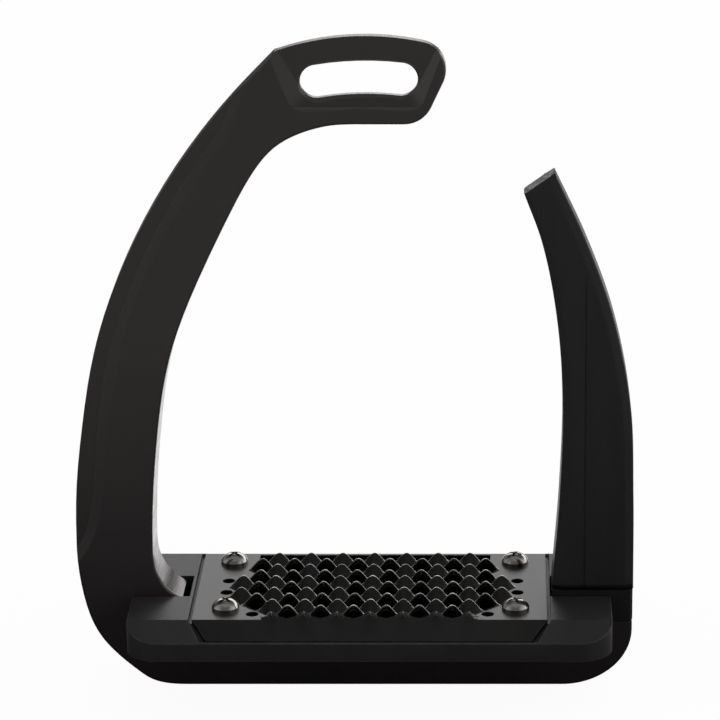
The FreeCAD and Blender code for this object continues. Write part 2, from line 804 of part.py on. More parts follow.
def make_release_arm():
    inner = curve_stations(arm_inner_curve, arm_station_count)
    outer = curve_stations(arm_outer_curve, arm_station_count)
    sections = [arm_section(inner[i], outer[i], i / (arm_station_count - 1))
                for i in range(arm_station_count)]
    body = Part.makeLoft(sections, True, False)
    slot = leaf_space(leaf_clearance, arm_root_z - 1, leaf_top + leaf_clearance)
    seam = box(seam_x - seam_width / 2, seam_x + seam_width / 2, -frame_half_thickness - 1,
               -frame_half_thickness + seam_depth, arm_root_z - 1, seam_top_z)
    return body.cut([slot, seam, mirrored_front_to_back(seam)])


def make_arm_root_block():
    block = box(root_block_left, root_block_right, -root_block_half_thickness, root_block_half_thickness,
                bar_top, arm_root_z)
    outer_edges = []
    for edge in block.Edges:
        middle = edge.CenterOfMass
        if abs(middle.x - root_block_right) < 1e-4 and middle.z < arm_root_z - 1:
            outer_edges.append(edge)
    block = block.makeChamfer(root_block_edge, outer_edges)
    cutters = [leaf_space(leaf_clearance, leaf_bottom - leaf_clearance, arm_root_z + 1)]
    for x in root_screw_x:
        cutters.append(rod(root_screw_radius + screw_hole_clearance, x, 0, bar_top - 1, root_screw_top + 0.5))
    return block.cut(cutters)


def make_arm_spring_leaf():
    return leaf_space(0.0, leaf_bottom, leaf_top)


def make_arm_root_screws():
    """M4 cap screws up through the bar that hold the root block on the stub."""
    screws = []
    for x in root_screw_x:
        head_foot = root_screw_head_top - root_screw_head_height
        shank = rod(root_screw_radius, x, 0, root_screw_head_top - 0.1, root_screw_top)
        head = rod(root_screw_head_radius, x, 0, head_foot, root_screw_head_top)
        corners = []
        for i in range(6):
            turn = math.radians(60 * i)
            corner = Vector(math.cos(turn), math.sin(turn), 0) * root_hex_radius
            corners.append(corner + Vector(x, 0, head_foot - 0.5))
        hexagon = plate_along(Part.makePolygon(corners + [corners[0]]), Vector(0, 0, root_hex_depth + 0.5))
        screws.append(head.fuse(shank).cut(hexagon).removeSplitter())
    return screws


def export(name, shapes):
    solids = []
    for shape in shapes:
        solids += shape.Solids
    whole = solids[0] if len(solids) == 1 else Part.makeCompound(solids)
    whole.exportStep(os.path.join("parts", name + ".step"))
    size = whole.BoundBox
    print(name, len(solids), "solid(s)", round(whole.Volume, 1), "mm3", whole.isValid(),
          [round(v, 1) for v in (size.XMin, size.XMax, size.YMin, size.YMax, size.ZMin, size.ZMax)])


os.makedirs("parts", exist_ok=True)
export("frame", [make_frame()])
export("tread_base", [make_tread_base()])
export("tread_plate", [make_tread_plate()])
export("tread_screws", make_tread_screws())
export("tread_screw_inserts", make_screw_inserts())
export("base_screws", make_base_screws())
export("release_arm", [make_release_arm()])
export("arm_root_block", [make_arm_root_block()])
export("arm_spring_leaf", [make_arm_spring_leaf()])
export("arm_root_screws", make_arm_root_screws())
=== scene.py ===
import bmesh
import bpy
import math
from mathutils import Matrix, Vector, noise


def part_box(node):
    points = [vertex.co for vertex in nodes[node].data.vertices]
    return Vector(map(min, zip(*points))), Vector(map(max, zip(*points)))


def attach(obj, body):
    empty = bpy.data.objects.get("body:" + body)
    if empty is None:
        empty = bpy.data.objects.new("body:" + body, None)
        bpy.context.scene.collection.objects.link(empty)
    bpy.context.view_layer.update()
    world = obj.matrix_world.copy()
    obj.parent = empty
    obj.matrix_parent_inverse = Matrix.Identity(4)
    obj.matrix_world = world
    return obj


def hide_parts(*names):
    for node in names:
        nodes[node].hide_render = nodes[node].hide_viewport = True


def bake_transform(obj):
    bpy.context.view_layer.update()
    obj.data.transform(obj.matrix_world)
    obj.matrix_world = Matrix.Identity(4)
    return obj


# The looks of the safety stirrup iron. Metres, in the frame of the CAD part: X towards the release
# arm, -Y the front, +Z up, origin under the middle of the tread on the underside of the bar.

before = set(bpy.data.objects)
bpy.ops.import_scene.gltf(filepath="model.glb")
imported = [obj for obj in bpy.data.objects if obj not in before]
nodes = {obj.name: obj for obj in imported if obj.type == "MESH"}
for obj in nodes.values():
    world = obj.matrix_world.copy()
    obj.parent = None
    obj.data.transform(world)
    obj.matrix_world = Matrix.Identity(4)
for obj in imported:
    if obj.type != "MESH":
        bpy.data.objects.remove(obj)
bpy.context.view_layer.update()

MM = 0.001

# ---- tread plate: a pressed sheet, all lengths in mm ----
PITCH_X = 9.73
PITCH_Y = 9.45
FIRST_CLOSED_Y = 17.7
FIRST_PIERCED_Y = FIRST_CLOSED_Y - PITCH_Y / 2
LAST_CLOSED_ROW = 5
WIDE_ROWS = (2, 3)
OUTER_COLUMN = 3
NET_COLUMNS = range(-6, 7)
NET_ROWS = range(-2, LAST_CLOSED_ROW + 2)
SCALE_HEIGHT = 2.4
WALL_SHARE = 0.07
CREST_SHARE = 0.15
APEX_ROUND = 1.0
APEX_FADE_SHARE = 0.3
BACK_SLOT_Y = 25.6
BACK_SLOT_HALF_LENGTH = 35.4
LAST_RIDGE_HEIGHT = 2.4
LAST_RIDGE_HALF_WIDTH = 3.6
LAST_RIDGE_BACK_Y = -24.2
LAST_RIDGE_RISE = 1.0
SHEET_TOP = 28.9
SHEET_THICKNESS = 1.2
SHEET_HALF_LENGTH = 52.3
FOLD_Y = 26.7
FLANGE_FOOT_HALF_LENGTH = 47.6
FLANGE_FOOT_Y = 35.1
FLANGE_DROP = 3.32
FOLD_FADE = 1.75
FOLD_SNAP = 0.03
CELL_SIDE_STEPS = 9
CELL_RINGS = (0.0, WALL_SHARE, CREST_SHARE, APEX_FADE_SHARE, 0.5, 0.75, 0.96)
CREST_RING = 1
FRONT_RIM_SHARE = 0.3
HOLE_HALF_X = 3.4
HOLE_BACK_Y = 3.3
HOLE_FRONT_Y = 4.1
HOLE_LIMIT_Y = 26.15
HOLE_POWER = 1.2
SLITS = ((43.6, 4.0), (43.6, -5.3), (34.8, -22.4))
SLIT_RADIUS = 1.9
SLIT_SIDES = 14
SCREW_HOLE_RADIUS = 2.25
SCREW_HOLE_SIDES = 20
SCREW_HEAD_RADIUS = 4.1
PUNCH_MARGIN = 0.8
NET_MERGE = 0.01
CUT_MERGE = 0.02
SAME_PLACE = 0.0001
SHARP_ANGLE = 17.5
SHEET_EDGE_ROUND = 0.1
UNDER_SHEET_X = (46.5, 47.5)
UNDER_SHEET_Y = (26.0, 26.6)

# ---- release arm, all lengths in mm ----
ARM_INNER = [(53.9, 30.8), (56.1, 60.0), (56.9, 88.8), (55.1, 114.6), (50.7, 137.5), (45.4, 152.2)]
ARM_OUTER = [(78.3, 30.8), (78.1, 60.0), (77.0, 88.0), (71.7, 115.2), (63.6, 138.1), (54.3, 158.5)]
ARM_STATIONS = 72
ARM_HALF = 8.0
ARM_TIP_HALF = 3.6
ARM_TAPER = 1.9
INNER_FACET = (2.8, 1.5)
OUTER_FACET = (2.6, 2.6)
FACET_DROP = 1.2
ARM_EDGE_ROUND = 0.55
SEAM_X = 63.6
SEAM_HALF_WIDTH = 0.3
SEAM_DEPTH = 0.4
SEAM_TOP = 130.0
SEAM_FADE = 6.0
SEAM_PROFILE = ((-1, 0), (-0.35, 0.8), (0.35, 0.8), (1, 0))
SEAM_INNER_GAP = 1.5
SEAM_OUTER_GAP = 0.9
SEAM_CORNERS = (1, 5)
CORNER_STEPS = 4
CURVE_STEPS = 60
TIP_RINGS = 7
TIP_ROUGHNESS = 0.28
TIP_GRAIN = 1.7
TIP_LIFT = 0.12
NOTCH_GRAIN = 0.9
NOTCH_LEVEL = 0.25
NOTCH_DEPTH = 1.6
NOTCH_PLACE = (7, 3, 1)
LEAF_STEPS = 40

# ---- moulded CAD nodes, all lengths in mm ----
MOULDED_ROUNDS = (("tread_base", 0.35), ("arm_root_block", 0.3))
MOULDED_ANGLE = 30.0
WELD_DISTANCE = 0.01
SOFT_EDGE_SEGMENTS = 2

# ---- light and camera, lengths in metres ----
KEY_STRENGTH = 2.7
RIGHT_STRENGTH = 0.8
LEFT_STRENGTH = 0.45
OVERHEAD_STRENGTH = 0.2
AMBIENT_FRONT = 0.22
AMBIENT_BEHIND = 0.05
FLOOR_SEEN_STRENGTH = 0.95
FLOOR_GLOW = 0.9
CAMERA_PLACE = (0.0393, -0.9913, 0.42556)
CAMERA_DOWN = 18.1514
CAMERA_LENS = 176.75
CAMERA_SHIFT = -0.1986
FLOOR_HALF = 4.0


# ---------------------------------------------------------------- node helpers

class NodeTree:
    """A node tree, and short ways to add nodes to it."""

    def __init__(self, tree, coords_name):
        self.tree = tree
        self.coords = tree.nodes.new("ShaderNodeTexCoord").outputs[coords_name]

    def link(self, source, target):
        self.tree.links.new(source, target)

    def node(self, kind, **inputs):
        made = self.tree.nodes.new(kind)
        for name, value in inputs.items():
            made.inputs[name].default_value = value
        return made

    def stretched(self, scale):
        """Object coordinates with each axis scaled, so that a noise becomes streaks."""
        mapping = self.node("ShaderNodeMapping", Scale=scale)
        self.link(self.coords, mapping.inputs["Vector"])
        return mapping.outputs["Vector"]

    def noise(self, scale, detail=3.0, stretch=(1, 1, 1)):
        made = self.node("ShaderNodeTexNoise", Scale=scale, Detail=detail)
        self.link(self.stretched(stretch), made.inputs["Vector"])
        return made.outputs["Fac"]

    def spread(self, value, low, high, out_low, out_high, smooth=False):
        """A value in low..high becomes out_low..out_high, held at both ends."""
        made = self.tree.nodes.new("ShaderNodeMapRange")
        made.interpolation_type = "SMOOTHSTEP" if smooth else "LINEAR"
        for index, number in enumerate((low, high, out_low, out_high)):
            made.inputs[index + 1].default_value = number
        self.link(value, made.inputs[0])
        return made.outputs[0]

    def maths(self, operation, first, second=None):
        made = self.tree.nodes.new("ShaderNodeMath")
        made.operation = operation
        for index, value in enumerate((first, second)):
            if value is None:
                continue
            if isinstance(value, (int, float)):
                made.inputs[index].default_value = value
            else:
                self.link(value, made.inputs[index])
        return made.outputs[0]

    def mix(self, share, first, second):
        """A colour between two colours or sockets."""
        made = self.tree.nodes.new("ShaderNodeMix")
        made.data_type = "RGBA"
        self.link(share, made.inputs[0])
        for index, value in ((6, first), (7, second)):
            if isinstance(value, tuple):
                made.inputs[index].default_value = (*value, 1)
            else:
                self.link(value, made.inputs[index])
        return made.outputs[2]

    def place_part(self, axis):
        """One coordinate of the place (of the direction, in the world's tree)."""
        split = self.tree.nodes.new("ShaderNodeSeparateXYZ")
        self.link(self.coords, split.inputs[0])
        return split.outputs[axis]


class Shader(NodeTree):
    """A material with one Principled shader, and short ways to drive it."""

    def __init__(self, name, colour, roughness, metallic=0.0):
        self.material = bpy.data.materials.new(name)
        self.material.use_nodes = True
        super().__init__(self.material.node_tree, "Object")
        self.main = self.tree.nodes["Principled BSDF"]
        self.main.inputs["Base Color"].default_value = (*colour, 1)
        self.main.inputs["Roughness"].default_value = roughness
        self.main.inputs["Metallic"].default_value = metallic
        self.bumped = None

    def normal_part(self, axis):
        """How much the surface faces one axis, as a number from -1 to 1."""
        source = self.tree.nodes.new("ShaderNodeTexCoord")
        split = self.tree.nodes.new("ShaderNodeSeparateXYZ")
        self.link(source.outputs["Normal"], split.inputs[0])
        return split.outputs[axis]

    def bump(self, height, distance, strength=1.0):
        """A bump on top of the bumps already there."""
        made = self.node("ShaderNodeBump", Strength=strength, Distance=distance)
        self.link(height, made.inputs["Height"])
        if self.bumped is not None:
            self.link(self.bumped, made.inputs["Normal"])
        self.bumped = made.outputs["Normal"]
        self.link(self.bumped, self.main.inputs["Normal"])

    def colour(self, socket):
        self.link(socket, self.main.inputs["Base Color"])

    def roughness(self, socket):
        self.link(socket, self.main.inputs["Roughness"])

    def edge_mask(self, radius):
        """Close to 1 on edges and 0 on flat faces; used to paint edges lighter, a painted highlight that
        also stands for edge wear.
        """
        bevel = self.tree.nodes.new("ShaderNodeBevel")
        bevel.samples = 4
        bevel.inputs["Radius"].default_value = radius
        geometry = self.tree.nodes.new("ShaderNodeNewGeometry")
        dot = self.tree.nodes.new("ShaderNodeVectorMath")
        dot.operation = "DOT_PRODUCT"
        self.link(bevel.outputs[0], dot.inputs[0])
        self.link(geometry.outputs["Normal"], dot.inputs[1])
        return self.spread(dot.outputs["Value"], 0.99, 0.9, 0.0, 1.0)


# ---------------------------------------------------------------- materials

def frame_metal():
    """Black anodised aluminium: bead-blasted faces, milled and brushed side walls."""
    s = Shader("anodised_aluminium", (0.011, 0.0098, 0.0102), 0.36)
    side = s.spread(s.maths("ABSOLUTE", s.normal_part("Y")), 0.25, 0.75, 1.0, 0.0, True)
    cloud = s.noise(55.0, 4.0)
    cloudy = s.spread(cloud, 0.35, 0.65, 0.0, 1.0)
    tone = s.mix(cloudy, (0.0105, 0.0086, 0.0089), (0.0150, 0.0122, 0.0124))
    streak = s.noise(1.0, 4.0, (1500.0, 60.0, 1500.0))
    brushed = s.mix(s.spread(streak, 0.3, 0.7, 0.0, 1.0), (0.011, 0.0095, 0.0098), (0.035, 0.030, 0.030))
    s.main.inputs["IOR"].default_value = 1.8
    s.main.inputs["Specular Tint"].default_value = (1.0, 0.9, 0.9, 1)
    # Edges painted lighter: a painted edge highlight, also standing for edge wear.
    highlight_and_wear = s.maths("MULTIPLY", s.edge_mask(0.0005), 0.6)
    s.colour(s.mix(highlight_and_wear, s.mix(side, tone, brushed), (0.06, 0.055, 0.055)))
    grain = s.noise(3800.0, 2.0)
    flat_rough = s.spread(grain, 0.3, 0.7, 0.33, 0.43)
    side_rough = s.spread(streak, 0.3, 0.7, 0.17, 0.31)
    rough = s.node("ShaderNodeMix")
    s.link(side, rough.inputs[0])
    s.link(flat_rough, rough.inputs[2])
    s.link(side_rough, rough.inputs[3])
    s.roughness(rough.outputs[0])
    s.bump(grain, 0.00002, 0.6)
    s.bump(s.maths("MULTIPLY", streak, side), 0.00003, 0.7)
    return s.material


def under_sheet(s, axis, limits):
    """1 under the tread sheet and 0 beside it, along one axis."""
    aside = s.maths("ABSOLUTE", s.place_part(axis))
    return s.spread(aside, limits[0] * MM, limits[1] * MM, 1.0, 0.0)


def base_nylon():
    """Glass-filled nylon with a fine spark-eroded texture, and painted shade under the tread sheet: near
    black, with its reflection turned off.
    """
    s = Shader("moulded_nylon", (0.016, 0.0155, 0.0155), 0.5)
    cloud = s.noise(70.0, 4.0)
    cloudy = s.spread(cloud, 0.35, 0.65, 0.0, 1.0)
    tone = s.mix(cloudy, (0.021, 0.0204, 0.0204), (0.029, 0.0282, 0.0282))
    patches = s.spread(s.noise(260.0, 3.0), 0.35, 0.6, 0.1, 1.0)
    # Edges painted lighter in patches: a painted edge highlight, also standing for scuffed wear.
    highlight_and_wear = s.maths("MULTIPLY", s.edge_mask(0.0004), patches)
    # Painted shade: the base top under the tread sheet is painted near black, with no reflection,
    # standing for the shade the sheet casts.
    painted_shade_under_sheet = s.maths("MULTIPLY", under_sheet(s, "X", UNDER_SHEET_X), under_sheet(s, "Y", UNDER_SHEET_Y))
    s.colour(s.mix(painted_shade_under_sheet, s.mix(highlight_and_wear, tone, (0.11, 0.108, 0.105)), (0.002, 0.002, 0.002)))
    s.link(s.spread(painted_shade_under_sheet, 0.0, 1.0, 0.5, 0.0), s.main.inputs["Specular IOR Level"])
    grain = s.noise(3000.0, 2.0)
    s.roughness(s.spread(grain, 0.3, 0.7, 0.42, 0.56))
    s.bump(grain, 0.00004, 0.6)
    return s.material


def plate_steel():
    """Black coated sheet: smoother on the scales than on the margins, with edges painted lighter in
    patches, a painted highlight that also stands for rubbed wear.
    """
    s = Shader("coated_sheet", (0.006, 0.0056, 0.0053), 0.3)
    s.main.inputs["IOR"].default_value = 1.4
    cloud = s.noise(90.0, 4.0)
    cloudy = s.spread(cloud, 0.35, 0.65, 0.0, 1.0)
    low = s.mix(cloudy, (0.005, 0.0047, 0.0044), (0.010, 0.0088, 0.008))
    patches = s.spread(s.noise(420.0, 3.0), 0.35, 0.6, 0.25, 1.0)
    # Edges painted lighter in patches, most on the raised scales: a painted highlight, also standing for
    # rubbed wear.
    raised = s.spread(s.place_part("Z"), (SHEET_TOP + 0.5) * MM, (SHEET_TOP + 1.2) * MM, 0.25, 1.0)
    highlight_and_wear = s.maths("MULTIPLY", s.maths("MULTIPLY", s.edge_mask(0.0003), patches), raised)
    s.colour(s.mix(highlight_and_wear, low, (0.20, 0.185, 0.17)))
    grain = s.noise(3500.0, 2.0)
    flat = s.spread(s.place_part("Z"), (SHEET_TOP + 0.02) * MM, (SHEET_TOP + 0.2) * MM, 1.0, 0.0)
    rougher = s.maths("MULTIPLY", flat, 0.16)
    s.roughness(s.maths("ADD", s.spread(grain, 0.3, 0.7, 0.16, 0.24), rougher))
    s.bump(grain, 0.00002, 0.5)
    return s.material


def crest_highlight_and_wear():
    """The narrow crest of each scale as a lighter metallic strip: a painted highlight along the crest,
    patchy like coating rubbed thin.
    """
    s = Shader("crest_highlight_and_wear", (0.25, 0.24, 0.23), 0.3, 1.0)
    crest_patches = s.noise(500.0, 3.0)
    highlight_and_wear = s.spread(crest_patches, 0.35, 0.65, 0.0, 1.0)
    s.colour(s.mix(highlight_and_wear, (0.13, 0.125, 0.12), (0.36, 0.35, 0.335)))
    s.roughness(s.spread(crest_patches, 0.35, 0.65, 0.38, 0.24))
    return s.material


def screw_steel():
    """Polished nickel-plated steel with faint turning marks."""
    s = Shader("nickel_plated_steel", (0.33, 0.315, 0.30), 0.14, 1.0)
    marks = s.noise(1.0, 2.0, (260.0, 260.0, 5200.0))
    s.roughness(s.spread(marks, 0.3, 0.7, 0.1, 0.24))
    s.bump(marks, 0.00001, 0.4)
    return s.material


def plain_metal(name, colour, roughness):
    """A turned or rolled metal with fine marks in its roughness."""
    s = Shader(name, colour, roughness, 1.0)
    marks = s.noise(1.0, 2.0, (300.0, 300.0, 4000.0))
    s.roughness(s.spread(marks, 0.3, 0.7, roughness * 0.8, roughness * 1.3))
    return s.material


def arm_elastomer():
    """Matt moulded elastomer with a fine mould texture and faint flow marks along the arm."""
    s = Shader("elastomer", (0.0135, 0.013, 0.0135), 0.52)
    flow = s.noise(1.0, 3.0, (160.0, 160.0, 22.0))
    streaky = s.spread(flow, 0.35, 0.65, 0.0, 1.0)
    s.colour(s.mix(streaky, (0.0115, 0.011, 0.0116), (0.0165, 0.0156, 0.0162)))
    grain = s.noise(2600.0, 3.0)
    s.roughness(s.spread(grain, 0.3, 0.7, 0.45, 0.6))
    s.bump(grain, 0.00005, 0.6)
    return s.material


def cut_elastomer():
    """The sawn end of the arm: torn, paler and rough."""
    s = Shader("cut_elastomer", (0.2, 0.2, 0.2), 0.8)
    tears = s.noise(900.0, 5.0)
    s.colour(s.mix(s.spread(tears, 0.3, 0.7, 0.0, 1.0), (0.09, 0.09, 0.092), (0.6, 0.6, 0.6)))
    s.bump(tears, 0.0002, 0.8)
    return s.material


def root_nylon():
    """Darker nylon with the same mould texture as the base."""
    s = Shader("root_nylon", (0.0065, 0.0063, 0.0063), 0.5)
    grain = s.noise(3000.0, 2.0)
    s.roughness(s.spread(grain, 0.3, 0.7, 0.42, 0.58))
    s.bump(grain, 0.00004, 0.5)
    return s.material


# ---------------------------------------------------------------- meshes

def new_piece(name, mesh, materials):
    made = bpy.data.objects.new(name, mesh)
    bpy.context.scene.collection.objects.link(made)
    for material in materials:
        mesh.materials.append(material)
    return made


def smoothstep(value):
    held = max(0.0, min(1.0, value))
    return held * held * (3 - 2 * held)


def closed_exists(column, row):
    """The closed scales: the middle rows have one more at each end."""
    if not 0 <= row <= LAST_CLOSED_ROW:
        return False
    return abs(column) <= OUTER_COLUMN + (1 if row in WIDE_ROWS else 0)


def pierced_exists(column, row):
    """The pierced scales, at (column + 1/2) pitches. The last row is one shorter at each end."""
    if not 0 <= row < LAST_CLOSED_ROW:
        return False
    reach = OUTER_COLUMN + (0 if row == LAST_CLOSED_ROW - 1 else 1)
    return -reach <= column < reach


def cell_at(x, y):
    """The diamond at a place: its row, whether it is a scale, and the place inside it in pitches."""
    column = round(x / PITCH_X)
    row = round((FIRST_CLOSED_Y - y) / PITCH_Y)
    across = x / PITCH_X - column
    along = (y - FIRST_CLOSED_Y) / PITCH_Y + row
    if abs(across) + abs(along) <= 0.5:
        return row, closed_exists(column, row), across, along
    column = math.floor(x / PITCH_X)
    row = round((FIRST_PIERCED_Y - y) / PITCH_Y)
    across = x / PITCH_X - column - 0.5
    return row, pierced_exists(column, row), across, (y - FIRST_PIERCED_Y) / PITCH_Y + row


def bell(share):
    """1 in the middle and 0 from one half outwards, along a cosine."""
    return 0.5 + 0.5 * math.cos(math.tau * min(0.5, abs(share)))


def scale_share(across, along):
    """A raised scale: a wall and a narrow crest at the back, then a long fall forward."""
    inside = 1 - 2 * (abs(across) + abs(along))
    wall = min(1.0, max(0.0, inside) / WALL_SHARE) if along > 0 else 1.0
    length = 1 - CREST_SHARE / 2 - 2 * abs(across)
    if length <= 0:
        return 0.0
    fall = (along + 0.5 - abs(across)) / length
    return bell(across) * wall * max(0.0, min(1.0, fall))


def last_ridge_share(x, y):
    """The last scales are cut short by the fold and stand as short ridges along it."""
    aside = x - PITCH_X * round(x / PITCH_X)
    if abs(x) > (OUTER_COLUMN + 0.5) * PITCH_X or y > LAST_RIDGE_BACK_Y:
        return 0.0
    rise = smoothstep((LAST_RIDGE_BACK_Y - y) / LAST_RIDGE_RISE)
    return bell(0.5 * aside / LAST_RIDGE_HALF_WIDTH) * rise


def sheet_height(x, y):
    """Height of the pressed sheet above its flat margins, in mm."""
    row, exists, across, along = cell_at(x, y)
    height = LAST_RIDGE_HEIGHT * last_ridge_share(x, y)
    if exists and row < LAST_CLOSED_ROW:
        height = max(height, SCALE_HEIGHT * scale_share(across, along))
    return height * smoothstep((FOLD_Y - abs(y)) / FOLD_FADE)


def apex_shift(x, y):
    """How far a crest steps forward near its apex, in mm, so that the apex is round in plan."""
    exists, across, along = cell_at(x, y)[1:]
    inside = 1 - 2 * (abs(across) + abs(along))
    aside = abs(across) * PITCH_X
    if not exists or along <= 0 or aside >= APEX_ROUND or inside >= APEX_FADE_SHARE:
        return 0.0
    fade = (APEX_FADE_SHARE - inside) / (APEX_FADE_SHARE - CREST_SHARE)
    window = min(1.0, inside / WALL_SHARE, fade)
    return window * (aside - APEX_ROUND) ** 2 / (2 * APEX_ROUND) * PITCH_Y / PITCH_X


def rounded_diamond(angle, half_x, half_y, power):
    """The point of a diamond with bulging sides in one direction from its middle."""
    c, s = math.cos(angle), math.sin(angle)
    radius = (abs(c / half_x) ** power + abs(s / half_y) ** power) ** (-1 / power)
    return radius * c, radius * s


def cell_border():
    """Points round one diamond, from its right corner over the back corner."""
    corners = [(PITCH_X / 2, 0), (0, PITCH_Y / 2), (-PITCH_X / 2, 0), (0, -PITCH_Y / 2)]
    border = []
    for side in range(4):
        a, b = corners[side], corners[(side + 1) % 4]
        for step in range(CELL_SIDE_STEPS):
            share = step / CELL_SIDE_STEPS
            border.append((a[0] + (b[0] - a[0]) * share, a[1] + (b[1] - a[1]) * share))
    return border


def add_cell(mesh, centre, exists, pierced):
    """One diamond of the net: flat, or rings from its border to the hole or to its centre."""
    border = cell_border()
    outlines = []
    for inward in CELL_RINGS if exists else (0.0,):
        outlines.append([(x * (1 - inward), y * (1 - inward)) for x, y in border])
    if exists and pierced:
        outlines = [thin_front(border, outline) for outline in outlines[:CREST_RING + 2]]
        outlines.append([hole_point(centre, x, y) for x, y in border])
    rings = []
    for outline in outlines:
        rings.append([mesh.verts.new((centre[0] + x, centre[1] + y, 0)) for x, y in outline])
    count = len(border)
    for place, (outer, inner) in enumerate(zip(rings, rings[1:])):
        for i in range(count):
            j = (i + 1) % count
            face = mesh.faces.new((outer[i], outer[j], inner[j], inner[i]))
            # The back half of the crest ring gets the second material, the painted crest highlight.
            if place == CREST_RING and i < count / 2 and centre[1] > -FOLD_Y:
                face.material_index = 1
    if not (exists and pierced):
        mesh.faces.new(rings[-1])


def thin_front(border, outline):
    """Keeps the front half of a ring close to the border, to leave room for the hole."""
    kept = []
    for (bx, by), (x, y) in zip(border, outline):
        pull = 1 - (1 - FRONT_RIM_SHARE) * smoothstep(-by)
        kept.append((bx + (x - bx) * pull, by + (y - by) * pull))
    return kept


def hole_point(centre, x, y):
    """The hole's edge in the direction of a border point; the last row's holes stop before the fold."""
    half_y = HOLE_BACK_Y if y > 0 else min(HOLE_FRONT_Y, centre[1] + HOLE_LIMIT_Y)
    angle = math.atan2(y / (PITCH_Y / 2) * half_y, x / (PITCH_X / 2) * HOLE_HALF_X)
    return rounded_diamond(angle, HOLE_HALF_X, half_y, HOLE_POWER)


def cut_at(mesh, place, outward, drop=True):
    """Cuts the flat sheet along a vertical plane, and can drop what lies outside."""
    everything = mesh.verts[:] + mesh.edges[:] + mesh.faces[:]
    bmesh.ops.bisect_plane(mesh, geom=everything, plane_co=place, plane_no=outward, clear_outer=drop)


def open_back_slot(mesh):
    """The long slot behind the first scales, straight along its back."""
    cut_at(mesh, (0, BACK_SLOT_Y, 0), (0, 1, 0), False)
    cut_at(mesh, (BACK_SLOT_HALF_LENGTH, 0, 0), (1, 0, 0), False)
    cut_at(mesh, (-BACK_SLOT_HALF_LENGTH, 0, 0), (1, 0, 0), False)
    opened = []
    for face in mesh.faces:
        middle = face.calc_center_median()
        within = abs(middle.x) < BACK_SLOT_HALF_LENGTH and middle.y < BACK_SLOT_Y
        if within and cell_at(middle.x, middle.y)[0] < 0:
            opened.append(face)
    bmesh.ops.delete(mesh, geom=opened, context="FACES")


def thicken(mesh):
    """The sheet's underside: the same surface lower down, and walls round every border."""
    faces = mesh.faces[:]
    borders = [loop for face in faces for loop in face.loops if loop.edge.is_boundary]
    rims = [(loop.vert, loop.link_loop_next.vert) for loop in borders]
    lower = {}
    for vertex in mesh.verts[:]:
        lower[vertex] = mesh.verts.new(vertex.co - Vector((0, 0, SHEET_THICKNESS * MM)))
    for face in faces:
        mesh.faces.new([lower[v] for v in reversed(face.verts)]).material_index = 0
    for a, b in rims:
        mesh.faces.new((b, a, lower[a], lower[b]))


def is_inside(place, points):
    """Whether a place lies within a convex outline that runs anticlockwise."""
    for i, start in enumerate(points):
        side = points[(i + 1) % len(points)] - start
        if side.x * (place.y - start.y) - side.y * (place.x - start.x) < 0:
            return False
    return True


def punch(mesh, centre, outline):
    """Drops the faces inside a convex outline after cutting the sheet along its sides."""
    middle = Vector((*centre, 0))
    points = [Vector((centre[0] + x, centre[1] + y, 0)) for x, y in outline]
    reach = max((p - middle).length for p in points) + PUNCH_MARGIN + PITCH_X / 2
    for i, start in enumerate(points):
        side = points[(i + 1) % len(points)] - start
        near = [f for f in mesh.faces if (f.calc_center_median() - middle).length < reach]
        geometry = set(near)
        for face in near:
            geometry.update(face.edges)
            geometry.update(face.verts)
        outward = (side.y, -side.x, 0)
        bmesh.ops.bisect_plane(mesh, geom=list(geometry), plane_co=start, plane_no=outward)
    inside = [face for face in mesh.faces if is_inside(face.calc_center_median(), points)]
    bmesh.ops.delete(mesh, geom=inside, context="FACES")


def circle(radius, count):
    """Points round a circle, anticlockwise."""
    turns = [math.tau * i / count for i in range(count)]
    return [(radius * math.cos(turn), radius * math.sin(turn)) for turn in turns]


def screw_centres():
    """The middles of the four tread screws, from the two sides of their CAD node."""
    low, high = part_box("tread_screws")
    head = SCREW_HEAD_RADIUS
    xs = (low.x / MM + head, high.x / MM - head)
    ys = (low.y / MM + head, high.y / MM - head)
    return [(x, y) for x in xs for y in ys]


def flat_sheet():
    """The sheet before pressing, in mm: the net of cells, trimmed and punched."""
    mesh = bmesh.new()
    for row in NET_ROWS:
        for column in NET_COLUMNS:
            place = (column * PITCH_X, FIRST_CLOSED_Y - row * PITCH_Y)
            add_cell(mesh, place, closed_exists(column, row), False)
            place = ((column + 0.5) * PITCH_X, FIRST_PIERCED_Y - row * PITCH_Y)
            add_cell(mesh, place, pierced_exists(column, row), True)
    bmesh.ops.remove_doubles(mesh, verts=mesh.verts, dist=NET_MERGE)
    cut_at(mesh, (SHEET_HALF_LENGTH, 0, 0), (1, 0, 0))
    cut_at(mesh, (-SHEET_HALF_LENGTH, 0, 0), (-1, 0, 0))
    cut_at(mesh, (0, FOLD_Y, 0), (0, 1, 0))
    cut_at(mesh, (0, -FOLD_Y, 0), (0, -1, 0))
    open_back_slot(mesh)
    for x, y in screw_centres():
        punch(mesh, (x, y), circle(SCREW_HOLE_RADIUS, SCREW_HOLE_SIDES))
    for side in (-1, 1):
        for x, y in SLITS:
            punch(mesh, (side * x, y), circle(SLIT_RADIUS, SLIT_SIDES))
    bmesh.ops.remove_doubles(mesh, verts=mesh.verts, dist=CUT_MERGE)
    for vertex in mesh.verts:
        if FOLD_Y - abs(vertex.co.y) < FOLD_SNAP:
            vertex.co.y = math.copysign(FOLD_Y, vertex.co.y)
    return mesh


